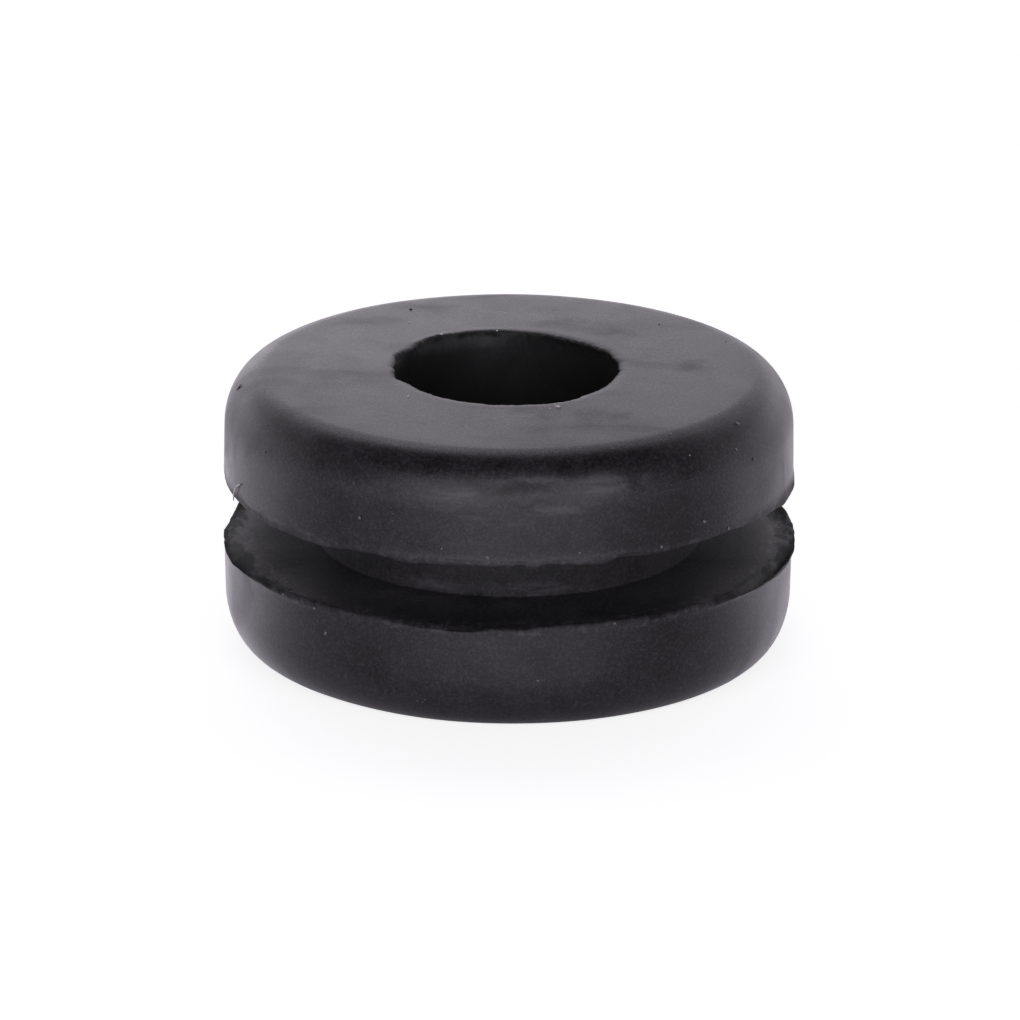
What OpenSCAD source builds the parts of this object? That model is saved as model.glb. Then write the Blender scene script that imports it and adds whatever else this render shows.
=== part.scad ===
// Rubber grommet: two equal round flanges with a groove between them for the edge of a panel,
// and a plain bore for a cable or a screw. It is moulded in one piece.
// It lies on one flange. The origin is the centre of that flat face, on the bore axis, with +Z
// up along the bore. All sizes are in millimetres.

/* [Flanges] */
// Diameter of both flanges at the foot of the shoulder, where the side wall starts
flange_d = 14.3; // [12.5:0.1:24]
// Thickness of each flange, from its flat outer face to its groove face
flange_t = 2.73; // [1.9:0.01:5]
// How far the rounded shoulder runs in over the flat outer face
shoulder_in = 1.05; // [0.3:0.05:1.4]
// How far the rounded shoulder runs down the side wall
shoulder_down = 1.42; // [0.3:0.02:1.5]
// Draft of the side wall in degrees: it widens towards the groove, where the mould parted
draft = 1; // [0:0.5:4]

/* [Panel groove] */
// Width of the groove, which takes the thickness of the panel
groove_w = 1.64; // [0.8:0.02:4]
// Diameter of the neck at the bottom of the groove, which sits in the hole of the panel
neck_d = 9.5; // [8:0.1:10.5]
// Radius of the fillets where the neck runs into the groove faces
root_r = 0.1; // [0.05:0.05:0.35]

/* [Bore] */
// Diameter of the bore
bore_d = 5.8; // [2:0.1:6.5]

/* [Moulding lips] */
// How far the lip that the mould left on each groove rim stands out from the side wall
lip_out = 0.08; // [0.04:0.01:0.3]
// Height of that lip along the side wall, where it starts
lip_h = 0.3; // [0.12:0.01:0.35]
// Thickness that is left at the thin outer edge of the lip
lip_edge = 0.08; // [0.04:0.01:0.1]

/* [Hidden] */
$fn = 180;

RUBBER = [0.17, 0.165, 0.17];
ARC_STEP = 5;

flange_r = flange_d / 2;
neck_r = neck_d / 2;
bore_r = bore_d / 2;
height = 2 * flange_t + groove_w;

// The side wall's radius at a height above the groove face.
function wall_r(z) = flange_r + (flange_t - shoulder_down - z) * tan(draft);

// One flange's section, with its groove face at y = 0 and its flat outer face at y = flange_t.
// From the axis it runs out along the groove face, round the thin lip where the two halves of
// the mould closed, up the drafted side wall and over the shoulder, a quarter of an ellipse.
module flange_section() {
    polygon(concat(
        [
            [0, 0],
            [wall_r(0) + lip_out, 0],
            [wall_r(0) + lip_out, lip_edge],
            [wall_r(lip_h), lip_h],
        ],
        [
            for (a = [0 : ARC_STEP : 90])
                [
                    flange_r - shoulder_in * (1 - cos(a)),
                    flange_t - shoulder_down * (1 - sin(a))
                ]
        ],
        [[0, flange_t]]
    ));
}

// The fillet in the corner between the neck and the groove face at y = 0, open towards -y.
module root_section() {
    difference() {
        translate([neck_r - root_r, -root_r])
            square(2 * root_r);
        translate([neck_r + root_r, -root_r])
            circle(r = root_r);
    }
}

// One flange with its root fillet, groove face at y = 0.
module flange_profile() {
    flange_section();
    root_section();
}

// The whole section, from the axis outwards: the neck with a flange at each end.
module grommet_section() {
    square([neck_r, height]);
    translate([0, flange_t + groove_w])
        flange_profile();
    translate([0, flange_t])
        mirror([0, 1])
            flange_profile();
}

// The moulded grommet with its bore.
module grommet() {
    color(RUBBER)
        difference() {
            rotate_extrude()
                grommet_section();
            translate([0, 0, -1])
                cylinder(r = bore_r, h = height + 2);
        }
}

grommet();
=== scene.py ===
"""Looks of the rubber grommet: the moulded body with its torn lips, dust and lint, and the studio."""
import math
from collections import namedtuple

import bmesh
import bpy
from mathutils import Matrix, Vector, noise


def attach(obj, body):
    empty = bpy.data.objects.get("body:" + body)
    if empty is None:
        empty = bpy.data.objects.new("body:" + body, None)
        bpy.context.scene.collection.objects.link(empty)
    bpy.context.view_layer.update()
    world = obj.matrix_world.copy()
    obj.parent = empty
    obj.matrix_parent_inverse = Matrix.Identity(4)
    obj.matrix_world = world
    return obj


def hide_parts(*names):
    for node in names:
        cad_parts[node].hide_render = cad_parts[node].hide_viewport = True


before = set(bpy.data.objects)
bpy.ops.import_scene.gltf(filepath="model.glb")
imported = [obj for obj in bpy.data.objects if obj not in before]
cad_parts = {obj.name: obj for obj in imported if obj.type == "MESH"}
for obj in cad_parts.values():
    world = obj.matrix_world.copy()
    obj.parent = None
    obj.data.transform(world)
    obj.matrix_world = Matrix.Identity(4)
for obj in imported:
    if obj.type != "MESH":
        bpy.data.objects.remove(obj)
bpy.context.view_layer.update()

MM = 0.001

# Sizes of the moulded form, in millimetres, as in the construction. The side walls are worn a
# little thinner than their nominal radius.
FLANGE_R = 7.15
FOOT_R = FLANGE_R - 0.02
FLANGE_T = 2.73
SHOULDER_DOWN = 1.42
UPPER_SHOULDER_IN = 1.06
DRAFT = math.radians(1.0)
GROOVE_W = 1.64
NECK_R = 4.80
ROOT_R = 0.02
BORE_R = 2.9
HEIGHT = 2 * FLANGE_T + GROOVE_W
# How much the upper face rises from the shoulder to the bore.
CROWN = 0.06
# Inside this radius the lower face is the same at every azimuth.
LOWER_FLAT_R = 5.3
UP = Vector((0, 0, 1))

# Points round each ring of the body's mesh.
SEGMENTS = 800


def wall_r(h):
    """Radius of a flange's side wall at height h above its groove face."""
    return FOOT_R + (FLANGE_T - SHOULDER_DOWN - h) * math.tan(DRAFT)


def crown_drop(r):
    """How far the upper face lies at radius r below its height at the bore."""
    edge = FOOT_R - UPPER_SHOULDER_IN
    return CROWN * (r - BORE_R) / (edge - BORE_R)


def smooth(a, b, x):
    """0 below a, 1 above b, and an even step between."""
    t = min(1.0, max(0.0, (x - a) / (b - a)))
    return t * t * (3 - 2 * t)


def round_noise(az, radius, size, seed, up=0.0):
    """Noise from -1 to 1 that closes on itself round a ring, with lumps of about the given size.
    Each seed takes another part of it."""
    return noise.noise(Vector((
        radius * math.cos(az) / size + seed * 7.31,
        radius * math.sin(az) / size - seed * 3.17,
        up / size + seed,
    )))


def by_azimuth(table, az):
    """Value at azimuth az from a table of (degrees, value), eased between its entries."""
    deg = math.degrees(az) % 360
    after = next((i for i, row in enumerate(table) if row[0] > deg), len(table))
    low = table[after - 1]
    high = table[after % len(table)]
    span = (high[0] - low[0]) % 360
    t = ((deg - low[0]) % 360) / span if span else 0.0
    return low[1] + (high[1] - low[1]) * t * t * (3 - 2 * t)


# How far the ragged mouth of the bore stands out (+) or in (-) from the true bore, by azimuth.
MOUTH = [
    (0, -0.16), (14, -0.15), (30, -0.12), (55, -0.18), (78, -0.06), (100, 0.10), (118, 0.12),
    (128, 0.22), (138, 0.12), (150, -0.02), (163, 0.09), (175, 0.0), (186, -0.02), (198, 0.07),
    (210, -0.10), (224, -0.04), (240, 0.0), (268, 0.01), (296, 0.06), (314, -0.11), (344, -0.19),
]
# How far the upper flange's lip hangs below its groove face, by azimuth.
UPPER_DROP = [
    (0, 0.10), (20, 0.05), (60, 0.05), (140, 0.0), (170, 0.06), (186, 0.12), (198, 0.09), (210, 0.09),
    (222, 0.12), (230, 0.14), (238, 0.03), (242, 0.0), (246, 0.03), (249, 0.08), (258, 0.05),
    (266, 0.04), (272, 0.02), (275, 0.10), (278, -0.01), (285, 0.06), (289, 0.09), (292, -0.05),
    (297, 0.0), (306, 0.0), (318, -0.03), (330, 0.01), (338, 0.09), (345, 0.20), (352, 0.16),
]
# How far the upper flange's lip stands out from its side wall, by azimuth.
UPPER_STAND = [
    (0, 0.0), (60, 0.02), (140, 0.0), (190, -0.01), (225, -0.01), (243, 0.0), (247, 0.045),
    (262, 0.06), (273, 0.045), (284, 0.055), (292, 0.04), (300, 0.03), (310, 0.0), (340, 0.02),
    (352, 0.06),
]
# How far the lower flange's lip folds down over its side wall, by azimuth.
LOWER_FOLD = [
    (0, 0.05), (7, -0.02), (15, -0.12), (26, -0.06), (60, 0.05), (120, 0.03), (152, 0.0), (162, -0.05),
    (174, 0.03), (200, 0.10), (212, 0.02), (226, -0.04), (240, -0.03), (256, 0.03), (262, 0.05),
    (270, -0.02), (282, -0.08), (294, -0.07), (300, 0.0), (310, -0.06), (320, 0.05), (332, 0.18),
    (345, 0.22),
]
# How far the lower flange's lip stands out from its side wall, by azimuth.
LOWER_STAND = [
    (0, 0.08), (10, 0.12), (20, 0.12), (50, 0.04), (140, 0.02), (160, 0.03), (172, -0.02), (184, 0.03),
    (194, 0.07), (206, 0.03), (240, 0.0), (300, 0.0), (330, 0.05),
]
# How badly the lips are torn, from 0 to 1, by azimuth.
RAGGED = [
    (6, 0.5), (14, 0.9), (25, 1.0), (198, 1.0), (206, 0.8), (218, 0.4), (236, 0.25), (300, 0.25),
    (316, 0.35), (335, 0.45), (346, 0.9), (358, 0.9),
]
# How far the lower shoulder runs in over the face that the grommet lies on, by azimuth, and the
# one value that places the dust on it.
LOWER_SHOULDER_IN = [(0, 0.82), (150, 0.88), (195, 0.93), (228, 0.92), (258, 0.85), (300, 0.82)]
LOWER_SHOULDER_MEAN = 0.85


# One ring of the revolved body: radius, height above its flange's groove face, how far it moves
# out or in and up or down with the lip's wear, how much it takes of the mouth's wear, and how
# matt it is.
Ring = namedtuple("Ring", "r h lip hang mouth matt", defaults=(0, 0, 0, 0))


def flange_rings(full):
    """Rings of one flange from the neck out along the groove face, over the lip, the side wall,
    the shoulder and the flat face, and down the bore. The upper flange is the full one. The lower
    one has fewer rings, and its shoulder is drawn 1 mm wide and fitted to its azimuth later."""
    rings = []
    root_steps = 4
    for k in range(root_steps):
        a = math.radians(90 * k / root_steps)
        rings.append(Ring(NECK_R + ROOT_R * (1 - math.cos(a)), -ROOT_R * (1 - math.sin(a)), matt=1.0))
    for r, matt in ((4.9, 1.0), (5.4, 1.0), (5.9, 0.85), (6.3, 0.65), (6.6, 0.5)):
        rings.append(Ring(r, 0.0, matt=matt))
    # The lip, from the groove face round its edge to the side wall.
    rim = wall_r(0)
    rings += [
        Ring(rim - 0.38, 0.0, 0.0, 0.02, 0, 0.45),
        Ring(rim - 0.30, 0.0, 0.05, 0.04, 0, 0.45),
        Ring(rim - 0.23, 0.0, 0.1, 0.14, 0, 0.5),
        Ring(rim - 0.17, -0.005, 0.2, 0.42, 0, 0.6),
        Ring(rim - 0.12, 0.0, 0.4, 0.8, 0, 0.7),
        Ring(rim - 0.08, 0.008, 0.55, 1.0, 0, 0.8),
        Ring(rim - 0.045, 0.02, 0.7, 1.0, 0, 0.8),
        Ring(rim - 0.02, 0.04, 0.9, 0.8, 0, 0.8),
        Ring(rim - 0.005, 0.065, 1.0, 0.5, 0, 0.7),
        Ring(rim, 0.09, 0.95, 0.25, 0, 0.5),
        Ring(rim, 0.115, 0.6, 0.1, 0, 0.35),
        Ring(rim, 0.15, 0.25, 0.0, 0, 0.2),
        Ring(wall_r(0.20), 0.20, 0.05, 0.0, 0, 0.1),
        Ring(wall_r(0.30), 0.30),
    ]
    for h in (0.42, 0.62, 0.85, 1.08, 1.24):
        rings.append(Ring(wall_r(h), h))
    steps = 16 if full else 12
    inward = UPPER_SHOULDER_IN if full else 1.0
    crown = CROWN if full else 0.0
    down = SHOULDER_DOWN - crown
    for k in range(steps + 1):
        a = math.radians(90 * k / steps)
        rings.append(Ring(
            FOOT_R - inward * (1 - math.cos(a)),
            FLANGE_T - crown - down * (1 - math.sin(a)),
        ))
    for r in (5.7, 5.3, 4.8, 4.3, 3.9, 3.6, 3.4) if full else (5.2, 4.3, 3.6, 3.3):
        rings.append(Ring(r, FLANGE_T - (crown_drop(r) if full else 0.0)))
    # The mouth of the bore.
    rings += [
        Ring(3.22, FLANGE_T - 0.1 * crown, mouth=0.1),
        Ring(3.08, FLANGE_T, mouth=0.45),
        Ring(2.98, FLANGE_T - 0.004, mouth=0.85, matt=0.1),
        Ring(2.93, FLANGE_T - 0.02, mouth=1.0, matt=0.3),
        Ring(BORE_R, FLANGE_T - 0.05, mouth=1.0, matt=0.6),
        Ring(BORE_R, FLANGE_T - 0.10, mouth=0.8, matt=0.6),
        Ring(BORE_R, FLANGE_T - 0.18, mouth=0.45, matt=0.3),
        Ring(BORE_R, FLANGE_T - 0.30, mouth=0.2, matt=0.1),
        Ring(BORE_R, FLANGE_T - 0.48, mouth=0.08),
    ]
    if full:
        rings.append(Ring(BORE_R, FLANGE_T - 0.75, mouth=0.03))
    rings.append(Ring(BORE_R, FLANGE_T - 1.3))
    return rings


def chew(az, r, z, along, across, seed):
    """Noise from -1 to 1 for a torn lip, with lumps of one size along the rim and one across it."""
    around = Vector((math.cos(az), math.sin(az), 0.0)) * FOOT_R / along
    return noise.noise(around + Vector((seed, -seed, (r + z) / across)))


def raggedness(az, upper):
    """How badly a lip is torn at an azimuth, from 0 to 1. The upper one is torn half as much."""
    return by_azimuth(RAGGED, az) * (0.5 if upper else 1.0)


def lip_wear(az, r, z, upper):
    """Radial and vertical shift of a lip's edge where it tore, in millimetres."""
    seed = 3.0 if upper else 8.0
    wave = round_noise(az, FOOT_R, 0.95, seed)
    teeth = round_noise(az, FOOT_R, 0.33, seed + 11)
    bite = smooth(0.15, 0.5, round_noise(az, FOOT_R, 1.1, seed + 31))
    crumb = chew(az, r, z, 0.25, 0.09, seed)
    lump = chew(az, r, z, 0.9, 0.2, seed + 5)
    ragged = raggedness(az, upper)
    out = by_azimuth(UPPER_STAND if upper else LOWER_STAND, az)
    out += 0.012 * wave + 0.008 * crumb + ragged * (0.01 * crumb + 0.05 * lump - 0.05 * bite)
    up = -by_azimuth(UPPER_DROP if upper else LOWER_FOLD, az)
    up += 0.02 * wave + 0.014 * teeth + 0.015 * crumb + 0.025 * lump
    up += ragged * (0.005 * crumb + 0.02 * lump + (0.03 if upper else -0.02) * bite)
    return out, up


def tear(ring, upper, az):
    """How badly the rubber is torn at a ring and azimuth, from 0 to 1."""
    if ring.r <= BORE_R:
        return 0.5 * ring.mouth
    at_rim = smooth(6.45, 7.05, ring.r) * (1.0 - smooth(0.06, 0.22, ring.h))
    return at_rim * raggedness(az, upper)


def mouth_wear(az, z, seed):
    """Radial and vertical shift of the bore's torn mouth, in millimetres."""
    teeth = round_noise(az, BORE_R, 0.42, seed, z * 0.5)
    grit = round_noise(az, BORE_R, 0.14, seed + 5, z) + 0.7 * round_noise(az, BORE_R, 0.07, seed + 9, z)
    return by_azimuth(MOUTH, az) + 0.035 * teeth + 0.04 * grit, 0.02 * teeth + 0.02 * grit


def body_point(ring, z, az, upper):
    """Point of the body, in metres, at one azimuth of a ring, with the mould's unevenness and the
    wear."""
    r = ring.r
    if not upper and z < SHOULDER_DOWN and r > LOWER_FLAT_R:
        r = FOOT_R - (FOOT_R - r) * by_azimuth(LOWER_SHOULDER_IN, az)
    dr = 0.010 * round_noise(az, r, 3.1, 2.0, z)
    dz = 0.006 * round_noise(az, r, 2.4, 4.0, z) if r > NECK_R else 0.0
    if ring.lip:
        out, up = lip_wear(az, r, z, upper)
        dr += ring.lip * out
        dz += ring.hang * up
    if ring.mouth:
        # The lower mouth is worn like the upper one, the other way round.
        out, up = mouth_wear(az if upper else -az, z, 14.0 if upper else 19.0)
        dr += ring.mouth * out
        dz += ring.mouth * up if r <= BORE_R else 0.0
    r += dr
    z = min(HEIGHT, max(0.0, z + dz))
    return r * math.cos(az) * MM, r * math.sin(az) * MM, z * MM


def new_piece(name, mesh, material):
    """An object of the grommet that rides on its body."""
    mesh.materials.append(material)
    piece = bpy.data.objects.new(name, mesh)
    bpy.context.collection.objects.link(piece)
    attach(piece, "root")
    return piece


def rubber_body(material):
    """The whole moulded grommet as one closed mesh of revolved rings with its wear."""
    rings = [(ring, FLANGE_T - ring.h, False) for ring in reversed(flange_rings(full=False))]
    # The neck, by the share of its height.
    for share, dull in ((0.2, 0.6), (0.4, 0.5), (0.6, 0.3), (0.8, 0.1)):
        z = FLANGE_T + ROOT_R + share * (GROOVE_W - 2 * ROOT_R)
        rings.append((Ring(NECK_R, 0, matt=dull), z, True))
    rings += [(ring, FLANGE_T + GROOVE_W + ring.h, True) for ring in flange_rings(full=True)]

    verts = []
    torn = []
    matt = []
    deep = []
    for ring, z, upper in rings:
        deep += [1.0 - smooth(BORE_R, BORE_R + 0.1, ring.r)] * SEGMENTS
        for s in range(SEGMENTS):
            az = 2 * math.pi * s / SEGMENTS
            verts.append(body_point(ring, z, az, upper))
            torn.append(tear(ring, upper, az))
            matt.append(ring.matt)
    faces = []
    count = len(rings)
    for i in range(count):
        j = (i + 1) % count
        for s in range(SEGMENTS):
            t = (s + 1) % SEGMENTS
            faces.append((i * SEGMENTS + s, i * SEGMENTS + t, j * SEGMENTS + t, j * SEGMENTS + s))
    mesh = bpy.data.meshes.new("grommet_body")
    mesh.from_pydata(verts, [], faces)
    mesh.update()
    for name, values in (("torn", torn), ("matt", matt), ("deep", deep)):
        mesh.attributes.new(name, "FLOAT", "POINT").data.foreach_set("value", values)
    mesh.shade_smooth()
    piece = new_piece("grommet_body", mesh, material)
    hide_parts("grommet")


def side_r(z):
    """Radius of the grommet's side or shoulder at height z above the floor."""
    upper = z > FLANGE_T + GROOVE_W
    h = z - FLANGE_T - GROOVE_W if upper else FLANGE_T - z
    foot = FLANGE_T - SHOULDER_DOWN
    if h < foot:
        return wall_r(h)
    down = SHOULDER_DOWN - CROWN if upper else SHOULDER_DOWN
    sine = min(1.0, (h - foot) / down)
    inward = UPPER_SHOULDER_IN if upper else LOWER_SHOULDER_MEAN
    return FOOT_R - inward * (1 - math.sqrt(1 - sine * sine))


def on_side(azimuth, z, out=0.0):
    """Point on the side, or out from it, in millimetres, from an azimuth in degrees and a height."""
    a = math.radians(azimuth)
    r = side_r(z) + out
    return Vector((r * math.cos(a), r * math.sin(a), z))


def on_top(azimuth, r):
    """Point on the upper face, in millimetres, from an azimuth in degrees and a radius."""
    a = math.radians(azimuth)
    return Vector((r * math.cos(a), r * math.sin(a), HEIGHT - crown_drop(r)))


# Pale dust on the upper face: azimuth, radius, and half the speck's width.
TOP_DUST = [
    (-68.6, 3.30, 0.075), (123.3, 3.16, 0.050), (96.2, 2.96, 0.038), (125.1, 4.47, 0.045),
    (-136.8, 3.42, 0.045), (-72.5, 3.36, 0.028), (-64.0, 3.28, 0.026), (118.0, 3.20, 0.028),
]
# Dark grit on the upper face, in the same way.
TOP_GRIT = [(117.8, 5.44, 0.045), (44.0, 5.30, 0.030), (23.0, 5.95, 0.030)]
# Pale dust on the sides and shoulders: azimuth, height, and half the speck's width.
SIDE_DUST = [
    (-51.0, 7.02, 0.060), (-32.0, 6.84, 0.065), (-37.0, 6.40, 0.050), (-32.0, 6.00, 0.045),
    (-50.0, 6.60, 0.040), (-48.0, 4.91, 0.060), (-41.0, 4.52, 0.050), (-58.6, 4.53, 0.050),
    (-68.7, 2.74, 0.045), (-84.0, 1.40, 0.040), (-120.4, 5.25, 0.055), (-128.6, 2.04, 0.055),
    (-140.6, 2.66, 0.050), (-131.5, 2.60, 0.045), (-94.0, 4.60, 0.055), (-103.0, 4.75, 0.035),
    (-148.0, 6.10, 0.045), (-151.0, 6.66, 0.040), (-76.0, 4.66, 0.040),
]
# How far the middle of a speck on the side stands out from the nominal surface.
SIDE_DUST_OUT = 0.01
# A speck's width and height as shares of its length, how much of its size its middle is raised
# along the direction that it faces, and how far each is turned from the one before, in radians.
SPECK_WIDE = 0.7
SPECK_HIGH = 0.45
SPECK_RAISED = 0.1
SPECK_TURN = 2.4
# The fibre on the left rim of the upper flange and the sliver of rubber on the left shoulder:
# azimuth, height, and how far out each point of the curve is. Then the radius of each.
FIBRE = [(-158.3, 4.86, 0.03), (-160.8, 4.74, 0.06), (-161.4, 4.54, 0.06), (-160.9, 4.34, 0.05)]
SHRED = [(-175.0, 6.62, -0.03), (-175.0, 6.70, 0.03), (-175.0, 6.80, 0.04)]
FIBRE_THREAD_R = 0.024
SHRED_THREAD_R = 0.03


def add_speck(bm, place, up, size, turn):
    """A small faceted grain, flattened on the surface that it lies on."""
    lie = up.to_track_quat("Z", "Y").to_matrix().to_4x4() @ Matrix.Rotation(turn, 4, "Z")
    shape = Matrix.Diagonal((size, size * SPECK_WIDE, size * SPECK_HIGH, 1.0))
    pose = Matrix.Translation(place + up * size * SPECK_RAISED) @ lie @ shape
    bmesh.ops.create_icosphere(bm, subdivisions=1, radius=MM, matrix=Matrix.Scale(MM, 4) @ pose
                               @ Matrix.Scale(1 / MM, 4))


def specks(name, grains, material):
    """A piece of many grains, each given by its place, the direction away from the surface and
    half its length."""
    bm = bmesh.new()
    for i, (place, up, size) in enumerate(grains):
        add_speck(bm, place, up, size, SPECK_TURN * i)
    mesh = bpy.data.meshes.new(name)
    bm.to_mesh(mesh)
    bm.free()
    new_piece(name, mesh, material)


def top_grains(table):
    """The grains of a table for the upper face."""
    return [(on_top(az, r), UP, size) for az, r, size in table]


def side_grains(table):
    """The grains of a table for the sides and shoulders."""
    return [(on_side(az, z, SIDE_DUST_OUT), outward(on_side(az, z)), size) for az, z, size in table]


def outward(place):
    """Direction away from the bore's axis at a point, tipped well up high on the upper shoulder."""
    tip = 0.9 if place.z > HEIGHT - SHOULDER_DOWN * 0.6 else 0.1
    return Vector((place.x, place.y, tip * place.length)).normalized()


def strand(name, points, thread_r, material, tip=0.3):
    """A thin closed thread through the given points in millimetres. Its radius shrinks to the
    share tip of it at the end."""
    around = 8
    # No strand runs along this direction.
    off_line = Vector((0.3, -1, 0.1))
    verts = []
    faces = []
    for i, point in enumerate(points):
        before = points[max(0, i - 1)]
        after = points[min(len(points) - 1, i + 1)]
        along = (after - before).normalized()
        side = along.cross(off_line).normalized()
        other = along.cross(side)
        size = thread_r * (1 - (1 - tip) * i / (len(points) - 1))
        for k in range(around):
            a = 2 * math.pi * k / around
            verts.append((point + (side * math.cos(a) + other * math.sin(a)) * size) * MM)
    for i in range(len(points) - 1):
        for k in range(around):
            m = (k + 1) % around
            faces.append((i * around + k, i * around + m, (i + 1) * around + m, (i + 1) * around + k))
    faces.append(tuple(reversed(range(around))))
    last = (len(points) - 1) * around
    faces.append(tuple(last + k for k in range(around)))
    mesh = bpy.data.meshes.new(name)
    mesh.from_pydata(verts, [], faces)
    mesh.update()
    mesh.shade_smooth()
    new_piece(name, mesh, material)


def bend(points):
    """Points of a smooth curve from the first of the given ones to the last, drawn towards the
    ones between."""
    count = 12
    curve = []
    for i in range(count + 1):
        row = list(points)
        t = i / count
        while len(row) > 1:
            row = [row[k].lerp(row[k + 1], t) for k in range(len(row) - 1)]
        curve.append(row[0])
    return curve


# Where the rubber is rubbed pale (strength above 0) or greasy (below 0): centre and half sizes in
# millimetres, and strength. Some are painted light: the pale band at the foot of the neck is a
# painted highlight, and the greasy patches at the top of the neck are painted shade.
MARKS = [
    ((-1.50, -6.95, 6.00), (1.00, 0.8, 0.26), 0.9),
    ((-2.90, -6.40, 6.15), (0.80, 0.8, 0.20), 0.3),
    ((0.10, -7.04, 6.32), (1.10, 0.8, 0.20), -1.5),
    ((2.05, -6.76, 6.22), (0.90, 0.8, 0.34), 1.0),
    ((1.17, -7.05, 5.78), (0.70, 0.8, 0.18), 0.8),
    ((0.20, -7.08, 5.62), (1.50, 0.8, 0.20), 0.5),
    ((0.35, -7.10, 5.96), (0.80, 0.8, 0.07), -0.8),
    ((0.54, -6.93, 6.52), (0.95, 0.8, 0.08), 0.6),
    ((3.60, -5.90, 6.20), (0.60, 0.8, 0.20), 0.4),
    ((4.00, -5.85, 5.20), (2.30, 1.9, 1.00), -1.0),
    # A painted highlight: a pale band along the foot of the neck, standing in for light on its fillet.
    ((-0.60, -4.75, 2.90), (3.40, 0.9, 0.20), 1.0),
    # Painted shade: the next two darken the top of the neck under the overhang of the upper flange.
    ((-1.80, -4.60, 3.95), (1.80, 0.8, 0.35), -1.5),
    ((1.60, -4.60, 4.05), (1.30, 0.8, 0.30), -1.3),
    ((2.50, -4.30, 7.07), (1.80, 1.20, 0.30), -0.45),
    ((1.85, -3.80, 7.07), (0.60, 0.95, 0.30), -0.35),
    ((0.65, -3.40, 7.07), (0.80, 0.60, 0.30), -0.6),
    ((1.35, 3.60, 7.07), (1.35, 0.60, 0.30), -0.65),
    ((2.70, 2.85, 7.07), (1.00, 0.55, 0.30), -0.6),
    ((4.60, 0.25, 7.07), (0.45, 0.60, 0.30), -0.6),
    ((2.80, -3.70, 7.07), (0.40, 0.50, 0.30), -0.45),
    ((-3.50, 3.80, 7.07), (1.20, 0.50, 0.30), -0.35),
    ((-4.20, 2.00, 7.07), (2.20, 2.00, 0.40), 0.5),
]


class Nodes:
    """A short way to add and link shader nodes."""

    def __init__(self, tree):
        self.tree = tree
        tree.nodes.clear()

    def add(self, kind, inputs=None, **settings):
        node = self.tree.nodes.new(kind)
        for key, value in settings.items():
            setattr(node, key, value)
        for key, value in (inputs or {}).items():
            self.put(node, key, value)
        return node

    def put(self, node, key, value):
        socket = node.inputs[key]
        if isinstance(value, bpy.types.NodeSocket):
            self.tree.links.new(value, socket)
        else:
            socket.default_value = value

    def math(self, operation, a, b=0.0, clamp=False):
        return self.add("ShaderNodeMath", {0: a, 1: b}, operation=operation,
                        use_clamp=clamp).outputs[0]

    def ramp(self, value, low, high, to_low=0.0, to_high=1.0):
        return self.add("ShaderNodeMapRange",
                        {"Value": value, "From Min": low, "From Max": high,
                         "To Min": to_low, "To Max": to_high},
                        interpolation_type="SMOOTHSTEP").outputs["Result"]

    def noise(self, vector, scale, detail=2.0, rough=0.5, distortion=0.0):
        return self.add("ShaderNodeTexNoise",
                        {"Vector": vector, "Scale": scale, "Detail": detail,
                         "Roughness": rough, "Distortion": distortion}).outputs["Fac"]

    def stretched(self, vector, scale):
        return self.vector("MULTIPLY", vector, scale).outputs["Vector"]

    def vector(self, operation, a, b=(0.0, 0.0, 0.0)):
        return self.add("ShaderNodeVectorMath", {0: a, 1: b}, operation=operation)

    def marks(self, place, sign):
        """Sum of the marks of one sign, each a soft patch round its centre."""
        total = 0.0
        for centre, half, strength in MARKS:
            if strength * sign > 0:
                away = self.vector("SUBTRACT", place, [c * MM for c in centre]).outputs["Vector"]
                share = self.stretched(away, [1 / (h * MM) for h in half])
                reach = self.vector("LENGTH", share).outputs["Value"]
                patch = self.ramp(reach, 0.15, 1.25, abs(strength), 0.0)
                total = self.math("ADD", total, patch)
        return total

    def mix(self, factor, first, second):
        """Colour between two colours, or sockets. The node's colour sockets are 6, 7 and out 2."""
        return self.add("ShaderNodeMix", {0: factor, 6: first, 7: second},
                        data_type="RGBA").outputs[2]


def new_material(name):
    """An empty node material and the node helper for it."""
    mat = bpy.data.materials.new(name)
    mat.use_nodes = True
    return mat, Nodes(mat.node_tree)


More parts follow.
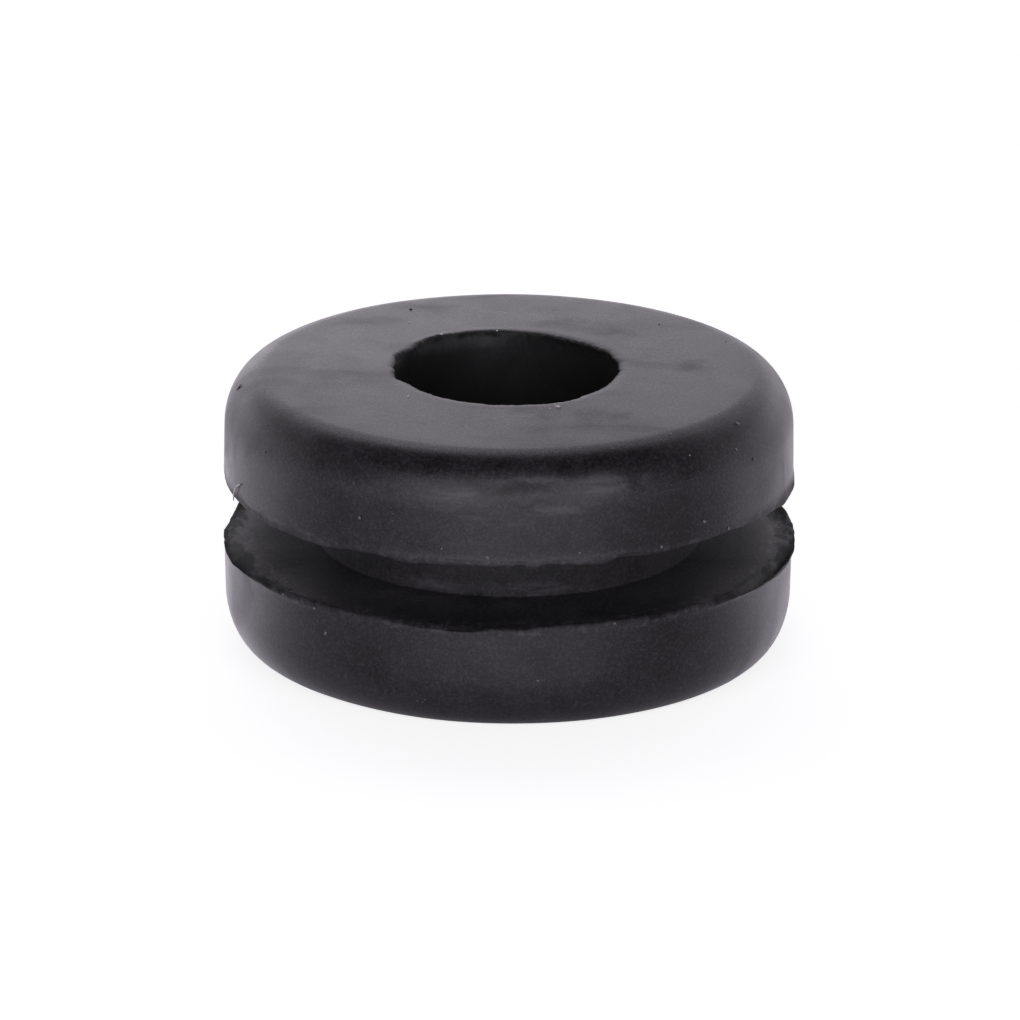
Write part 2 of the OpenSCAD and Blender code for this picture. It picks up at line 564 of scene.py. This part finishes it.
def rubber_material():
    """Moulded black rubber: satin outside, dull in the groove and the bore, and torn at the lips,
    with a fine grain, a dusty bloom rubbed into streaks, smudges and dust. Some of the colour is
    painted light: a lighter grey in the bore, a painted highlight along the foot of the neck,
    painted shade at the top of the neck, and black pits as painted shade in the torn lips."""
    black = (0.0060, 0.0055, 0.0063, 1.0)
    pale_bloom_and_highlight = (0.0829, 0.0780, 0.0854, 1.0)
    bore_painted_light_grey = (0.016, 0.016, 0.016, 1.0)
    dust_grey = (0.16, 0.16, 0.17, 1.0)
    pit_shade_black = (0.003, 0.003, 0.003, 1.0)

    mat, n = new_material("rubber_black")
    place = n.add("ShaderNodeTexCoord").outputs["Object"]
    torn = n.add("ShaderNodeAttribute", attribute_name="torn").outputs["Fac"]
    matt = n.add("ShaderNodeAttribute", attribute_name="matt").outputs["Fac"]
    deep = n.add("ShaderNodeAttribute", attribute_name="deep").outputs["Fac"]

    # Noises, by their cells to the metre: fine grain, dots, blotches, smears and level streaks.
    grain = n.noise(place, 21000.0, 2.0, 0.7)
    dots = n.noise(place, 9500.0, 2.0, 0.6)
    mottle = n.noise(place, 900.0, 4.0, 0.55, 0.4)
    smudge = n.noise(n.stretched(place, (0.6, 1.5, 1.0)), 420.0, 3.0, 0.5, 0.8)
    streak = n.noise(n.stretched(place, (0.13, 0.13, 1.0)), 3600.0, 3.0, 0.65)
    drawn = n.stretched(place, (1.0, 0.4, 1.0))
    flecks = n.noise(drawn, 5200.0, 2.0, 0.6)

    # The marks, with outlines that wander by up to a millimetre.
    wander = n.add("ShaderNodeTexNoise", {"Vector": place, "Scale": 1500.0}).outputs["Color"]
    off = n.stretched(n.vector("SUBTRACT", wander, (0.5, 0.5, 0.5)).outputs["Vector"],
                      (0.0013, 0.0013, 0.0005))
    moved = n.vector("ADD", place, off).outputs["Vector"]
    lines = n.ramp(streak, 0.38, 0.60)
    # The pale marks hold a painted highlight at the foot of the neck; the greasy ones hold painted shade
    # at its top.
    rubbed_and_highlight = n.math("MULTIPLY", n.marks(moved, 1), n.ramp(lines, 0.0, 1.0, 0.25, 1.0))
    greasy_and_shade = n.math("ADD", n.ramp(smudge, 0.50, 0.75, 0.0, 0.6), n.marks(moved, -1))

    rough = n.math("ADD", n.ramp(mottle, 0.3, 0.7, 0.28, 0.34), n.math("MULTIPLY", greasy_and_shade, 0.14))
    rough = n.math("ADD", rough, n.math("MULTIPLY", matt, 0.42), clamp=True)

    # The bloom is more on the upper face, where dust settles, and where the lips start to tear.
    # The pale marks add to it and the greasy ones take from it, and with them come a painted
    # highlight along the foot of the neck and painted shade at the top of the neck.
    bloom_and_painted_light = n.math("ADD", n.math("MULTIPLY", lines, 0.06), n.ramp(grain, 0.42, 0.70, 0.0, 0.50))
    bloom_and_painted_light = n.math("ADD", bloom_and_painted_light, n.ramp(dots, 0.45, 0.72, 0.0, 0.40))
    bloom_and_painted_light = n.math("ADD", bloom_and_painted_light, n.ramp(mottle, 0.35, 0.65, 0.0, 0.20))
    on_face = n.ramp(n.add("ShaderNodeSeparateXYZ", {0: place}).outputs["Z"], 0.0069, 0.0070)
    bloom_and_painted_light = n.math("ADD", bloom_and_painted_light, n.math("MULTIPLY", on_face, n.ramp(grain, 0.48, 0.64, 0.0, 0.65)))
    bloom_and_painted_light = n.math("ADD", bloom_and_painted_light, n.math("MULTIPLY", rubbed_and_highlight, 1.3))
    crumbs = n.math("MULTIPLY", n.ramp(torn, 0.02, 0.10), n.ramp(torn, 0.25, 0.45, 1.0, 0.0))
    bloom_and_painted_light = n.math("ADD", bloom_and_painted_light, n.math("MULTIPLY", crumbs, n.ramp(flecks, 0.50, 0.66, 0.0, 0.7)))
    bloom_and_painted_light = n.math("SUBTRACT", bloom_and_painted_light, n.math("MULTIPLY", greasy_and_shade, 0.25))
    bloom_and_painted_light = n.math("MULTIPLY", bloom_and_painted_light, 0.65, clamp=True)
    tone = n.mix(bloom_and_painted_light, black, pale_bloom_and_highlight)
    # Painted light: the bore is an even grey, lighter than the bare black, to lift its shaded wall.
    tone = n.mix(n.math("MULTIPLY", deep, 0.9), tone, bore_painted_light_grey)

    # Fine dust outside the bore, and dark pits where the lips are torn. The pits are rougher rubber,
    # and their black is painted shade for the inside of small holes.
    cells = n.add("ShaderNodeTexVoronoi", {"Vector": place, "Scale": 4200.0},
                  feature="F1").outputs["Distance"]
    rare = n.ramp(n.noise(place, 2600.0, 1.0), 0.62, 0.70)
    dust = n.math("MULTIPLY", n.ramp(cells, 0.06, 0.16, 1.0, 0.0), rare)
    dust = n.math("MULTIPLY", dust, n.math("SUBTRACT", 1.0, deep))
    tone = n.mix(n.math("MULTIPLY", dust, 0.6), tone, dust_grey)
    patches = n.math("ADD", n.math("MULTIPLY", flecks, 0.25),
                     n.math("MULTIPLY", n.noise(drawn, 1900.0, 4.0, 0.65, 0.5), 0.75))
    pits_and_shade = n.math("MULTIPLY", n.ramp(n.math("ADD", patches, n.math("MULTIPLY", torn, 0.20)), 0.56, 0.68),
                  n.ramp(torn, 0.1, 0.4))
    tone = n.mix(pits_and_shade, tone, pit_shade_black)
    rough = n.math("ADD", rough, n.math("MULTIPLY", pits_and_shade, 0.15), clamp=True)
    rough = n.math("ADD", rough, n.math("MULTIPLY", deep, 0.10), clamp=True)

    height = n.math("ADD", n.math("MULTIPLY", grain, 1.3), n.math("MULTIPLY", streak, 0.4))
    height = n.math("ADD", height, n.math("MULTIPLY", mottle, 0.8))
    height = n.math("ADD", height, n.math("MULTIPLY", n.math("MULTIPLY", flecks, torn), 4.0))
    bump = n.add("ShaderNodeBump", {"Strength": 0.38, "Distance": 0.00001, "Height": height})
    shader = n.add("ShaderNodeBsdfPrincipled", {
        "Base Color": tone,
        "Roughness": rough,
        "IOR": 1.5,
        "Normal": bump.outputs["Normal"],
    })
    n.add("ShaderNodeOutputMaterial", {"Surface": shader.outputs["BSDF"]})
    return mat


def grain_material(name, low, high, roughness):
    """Dull grit, dust or lint, of a colour that varies between two values."""
    mat, n = new_material(name)
    place = n.add("ShaderNodeTexCoord").outputs["Object"]
    shade = n.mix(n.noise(place, 3000.0, 2.0), low, high)
    bump = n.add("ShaderNodeBump", {"Strength": 0.4, "Distance": 0.00001,
                                    "Height": n.noise(place, 20000.0, 2.0)})
    shader = n.add("ShaderNodeBsdfPrincipled", {
        "Base Color": shade,
        "Roughness": roughness,
        "Normal": bump.outputs["Normal"],
    })
    n.add("ShaderNodeOutputMaterial", {"Surface": shader.outputs["BSDF"]})
    return mat


# The floor's half width in metres, its grey, and how much it glows to the camera to be white.
FLOOR_HALF = 1.5
FLOOR_GREY = 0.72
FLOOR_GLOW = 0.78
# The soft light in front: width, height and distance in metres, power in watts, and elevation.
LAMP_WIDTH = 0.92
LAMP_HEIGHT = 0.38
LAMP_AWAY = 0.5
LAMP_WATTS = 1.46
LAMP_UP = math.radians(22)
# Colour of the lamp and the surround, and the tint of the floor's painted reflection.
STUDIO_TINT = (1.0, 0.96, 1.04)
FLOOR_TINT = (1.0, 0.94, 1.08, 1.0)


def white_floor():
    """A white floor, evenly white to the camera. In reflections it glows in a painted pattern that
    changes with the place, which is in metres from the bore's axis: a painted reflection on the
    rubber."""
    mesh = bpy.data.meshes.new("floor")
    half = FLOOR_HALF
    mesh.from_pydata([(-half, -half, 0), (half, -half, 0), (half, half, 0), (-half, half, 0)],
                     [], [(0, 1, 2, 3)])
    floor = bpy.data.objects.new("floor", mesh)
    bpy.context.collection.objects.link(floor)
    mat, n = new_material("floor_white")
    path = n.add("ShaderNodeLightPath")
    place = n.add("ShaderNodeTexCoord").outputs["Object"]
    at = n.add("ShaderNodeSeparateXYZ", {0: place})
    x = at.outputs["X"]
    y = at.outputs["Y"]
    aside = n.math("ABSOLUTE", x)
    # The floor's painted reflection: these patterns glow only for glossy rays, so the rubber mirrors
    # bright and dark areas that the camera never sees on the floor.
    # Bright behind the grommet, less so far out and on the right.
    behind = n.math("MULTIPLY", n.ramp(y, -0.0055, 0.0, 0.0, 0.95),
                    n.ramp(aside, 0.012, 0.018, 1.0, 0.72))
    behind = n.math("MULTIPLY", behind, n.ramp(x, 0.0, 0.012, 1.0, 0.78))
    # A strip in front that fades towards the grommet and the sides.
    strip = n.math("MULTIPLY", n.ramp(y, -0.017, -0.013, 0.45, 0.60),
                   n.ramp(y, -0.0112, -0.0070, 1.0, 0.0))
    strip = n.math("MULTIPLY", strip, n.ramp(aside, 0.003, 0.0105, 1.0, 0.0))
    # Far in front, and faintly on the left.
    far = n.ramp(y, -0.0255, -0.0200, 0.8, 0.0)
    left = n.math("MULTIPLY", n.ramp(x, -0.010, -0.006, 0.10, 0.0),
                  n.ramp(y, -0.014, -0.009, 0.0, 1.0))
    # A narrow band along each side of the flange, from its middle backwards.
    close = n.math("MULTIPLY", n.ramp(aside, 0.0060, 0.0070, 0.0, 1.0),
                   n.ramp(aside, 0.0080, 0.0092, 0.65, 0.0))
    close = n.math("MULTIPLY", close, n.ramp(y, -0.004, -0.001))
    # A ring round the grommet that is open in front, and weaker behind and on the right.
    away = n.vector("LENGTH", place).outputs["Value"]
    beside = n.math("MULTIPLY", n.ramp(away, 0.0105, 0.0140, 0.26, 0.0),
                    n.ramp(y, -0.0095, -0.0045))
    beside = n.math("MULTIPLY", beside, n.ramp(x, 0.0, 0.008, 1.0, 0.78))
    beside = n.math("MULTIPLY", beside, n.ramp(y, -0.004, -0.001, 1.0, 0.35))
    glossy = n.math("MAXIMUM", n.math("MAXIMUM", behind, strip), n.math("MAXIMUM", far, left))
    glossy = n.math("MAXIMUM", n.math("ADD", glossy, beside), close)
    # None of it shines up into the bore.
    glossy = n.math("MULTIPLY", glossy, n.ramp(away, 0.003, 0.004))
    mirrored = n.math("MULTIPLY", glossy, path.outputs["Is Glossy Ray"])
    seen = n.math("MULTIPLY", path.outputs["Is Camera Ray"], FLOOR_GLOW)
    diffuse = n.add("ShaderNodeBsdfDiffuse", {"Color": (FLOOR_GREY, FLOOR_GREY, FLOOR_GREY, 1.0)})
    tint = n.mix(path.outputs["Is Glossy Ray"], (1.0, 1.0, 1.0, 1.0), FLOOR_TINT)
    glow = n.add("ShaderNodeEmission", {"Color": tint, "Strength": n.math("ADD", seen, mirrored)})
    both = n.add("ShaderNodeAddShader", {0: diffuse.outputs[0], 1: glow.outputs[0]})
    n.add("ShaderNodeOutputMaterial", {"Surface": both.outputs[0]})
    mesh.materials.append(mat)


def surround():
    """A white surround whose brightness changes with the direction."""
    world = bpy.data.worlds.new("studio")
    world.use_nodes = True
    n = Nodes(world.node_tree)
    direction = n.add("ShaderNodeTexCoord").outputs["Generated"]
    part = n.add("ShaderNodeSeparateXYZ", {0: direction})
    x = part.outputs["X"]
    y = part.outputs["Y"]
    z = part.outputs["Z"]
    # Dark overhead.
    aside = n.math("MULTIPLY", n.math("ABSOLUTE", x), 0.45)
    overhead = n.ramp(n.math("ADD", z, aside), 0.90, 1.03, 1.0, 0.05)
    # Bright near the horizon, and once more high up behind the grommet.
    above = n.math("MULTIPLY", n.ramp(z, 0.50, 0.78, 0.0, 0.75), n.ramp(y, 0.20, 0.45))
    slope = n.math("ADD", n.ramp(z, 0.225, 0.435, 1.33, 0.64), above)
    # Brighter the further it is behind, and on the left of the middle, but not far out.
    round_back = n.math("ADD", n.ramp(y, -0.15, 0.25, 0.10, 0.60), n.ramp(y, 0.25, 0.95, 0.0, 0.42))
    across = n.ramp(x, -0.13, 0.13, 1.16, 0.74)
    sides = n.math("MULTIPLY", n.ramp(x, -0.45, -0.20, 0.84, 1.0), n.ramp(x, 0.20, 0.45, 1.0, 1.16))
    across = n.math("MULTIPLY", across, sides)
    strength = n.math("MULTIPLY", n.math("MULTIPLY", overhead, slope),
                      n.math("MULTIPLY", round_back, across))
    back = n.add("ShaderNodeBackground", {"Color": (*STUDIO_TINT, 1.0), "Strength": strength})
    n.add("ShaderNodeOutputWorld", {"Surface": back.outputs[0]})
    bpy.context.scene.world = world


def front_light():
    """A wide soft light straight in front."""
    lamp = bpy.data.lights.new("front_softbox", "AREA")
    lamp.shape = "RECTANGLE"
    lamp.size = LAMP_WIDTH
    lamp.size_y = LAMP_HEIGHT
    lamp.energy = LAMP_WATTS
    lamp.color = STUDIO_TINT
    light = bpy.data.objects.new("front_softbox", lamp)
    bpy.context.collection.objects.link(light)
    place = LAMP_AWAY * Vector((0, -math.cos(LAMP_UP), math.sin(LAMP_UP)))
    light.matrix_world = looking(place, Vector((0, 0, 0)))


def looking(place, target):
    """Pose at place whose -Z points to target, with its top upwards."""
    toward = (target - place).normalized()
    return Matrix.Translation(place) @ toward.to_track_quat("-Z", "Y").to_matrix().to_4x4()


# Camera, from the photograph: it looks along +Y from far away, down by the angle CAMERA_UP. The
# flange's radius is measured in pixels, and is also a known share of the camera's distance.
CAMERA_UP = math.radians(19.35)
CAMERA_ROLL = math.radians(0.375)
IMAGE_PX = 1020
FLANGE_R_PX = 284.0
FLANGE_R_SHARE = 0.0385
PX_PER_MM = FLANGE_R_PX / FLANGE_R
CAMERA_AWAY = FLANGE_R / FLANGE_R_SHARE
SENSOR_MM = 36.0
# Where the middle of the grommet is in the image.
CENTRE_X_PX = 508.5
CENTRE_Y_PX = 501.0


def camera():
    """The camera at the photograph's viewing angle, with the object where the photograph has it."""
    lens = bpy.data.cameras.new("camera")
    lens.sensor_fit = "HORIZONTAL"
    lens.sensor_width = SENSOR_MM
    lens.lens = PX_PER_MM * CAMERA_AWAY / IMAGE_PX * SENSOR_MM
    lens.clip_start = 0.001
    view = bpy.data.objects.new("camera", lens)
    bpy.context.collection.objects.link(view)
    ahead = Vector((0, math.cos(CAMERA_UP), -math.sin(CAMERA_UP)))
    top = Vector((0, math.sin(CAMERA_UP), math.cos(CAMERA_UP)))
    side = Vector((1, 0, 0))
    dx = (IMAGE_PX / 2 - CENTRE_X_PX) / PX_PER_MM
    dy = (IMAGE_PX / 2 - CENTRE_Y_PX) / PX_PER_MM
    aim = Vector((0, 0, HEIGHT / 2)) + side * dx - top * dy
    roll = Matrix.Rotation(CAMERA_ROLL, 4, "Z")
    view.matrix_world = looking((aim - ahead * CAMERA_AWAY) * MM, aim * MM) @ roll
    bpy.context.scene.camera = view


rubber = rubber_material()
dust = grain_material("pale_dust", (0.16, 0.155, 0.16, 1.0), (0.30, 0.29, 0.30, 1.0), 0.9)
chalk = grain_material("white_dust", (0.70, 0.68, 0.70, 1.0), (0.85, 0.84, 0.85, 1.0), 0.9)
grit = grain_material("dark_grit", (0.006, 0.006, 0.006, 1.0), (0.014, 0.013, 0.014, 1.0), 0.95)
lint = grain_material("pale_lint", (0.70, 0.66, 0.70, 1.0), (0.88, 0.85, 0.88, 1.0), 0.8)

rubber_body(rubber)
specks("white_specks", top_grains(TOP_DUST), chalk)
specks("pale_specks", side_grains(SIDE_DUST), dust)
specks("dark_specks", top_grains(TOP_GRIT), grit)
strand("pale_fibre", bend([on_side(*point) for point in FIBRE]), FIBRE_THREAD_R, lint, tip=0.7)
strand("shoulder_shred", bend([on_side(*point) for point in SHRED]), SHRED_THREAD_R, rubber)

white_floor()
surround()
front_light()
camera()
bpy.context.scene.view_settings.view_transform = "Standard"
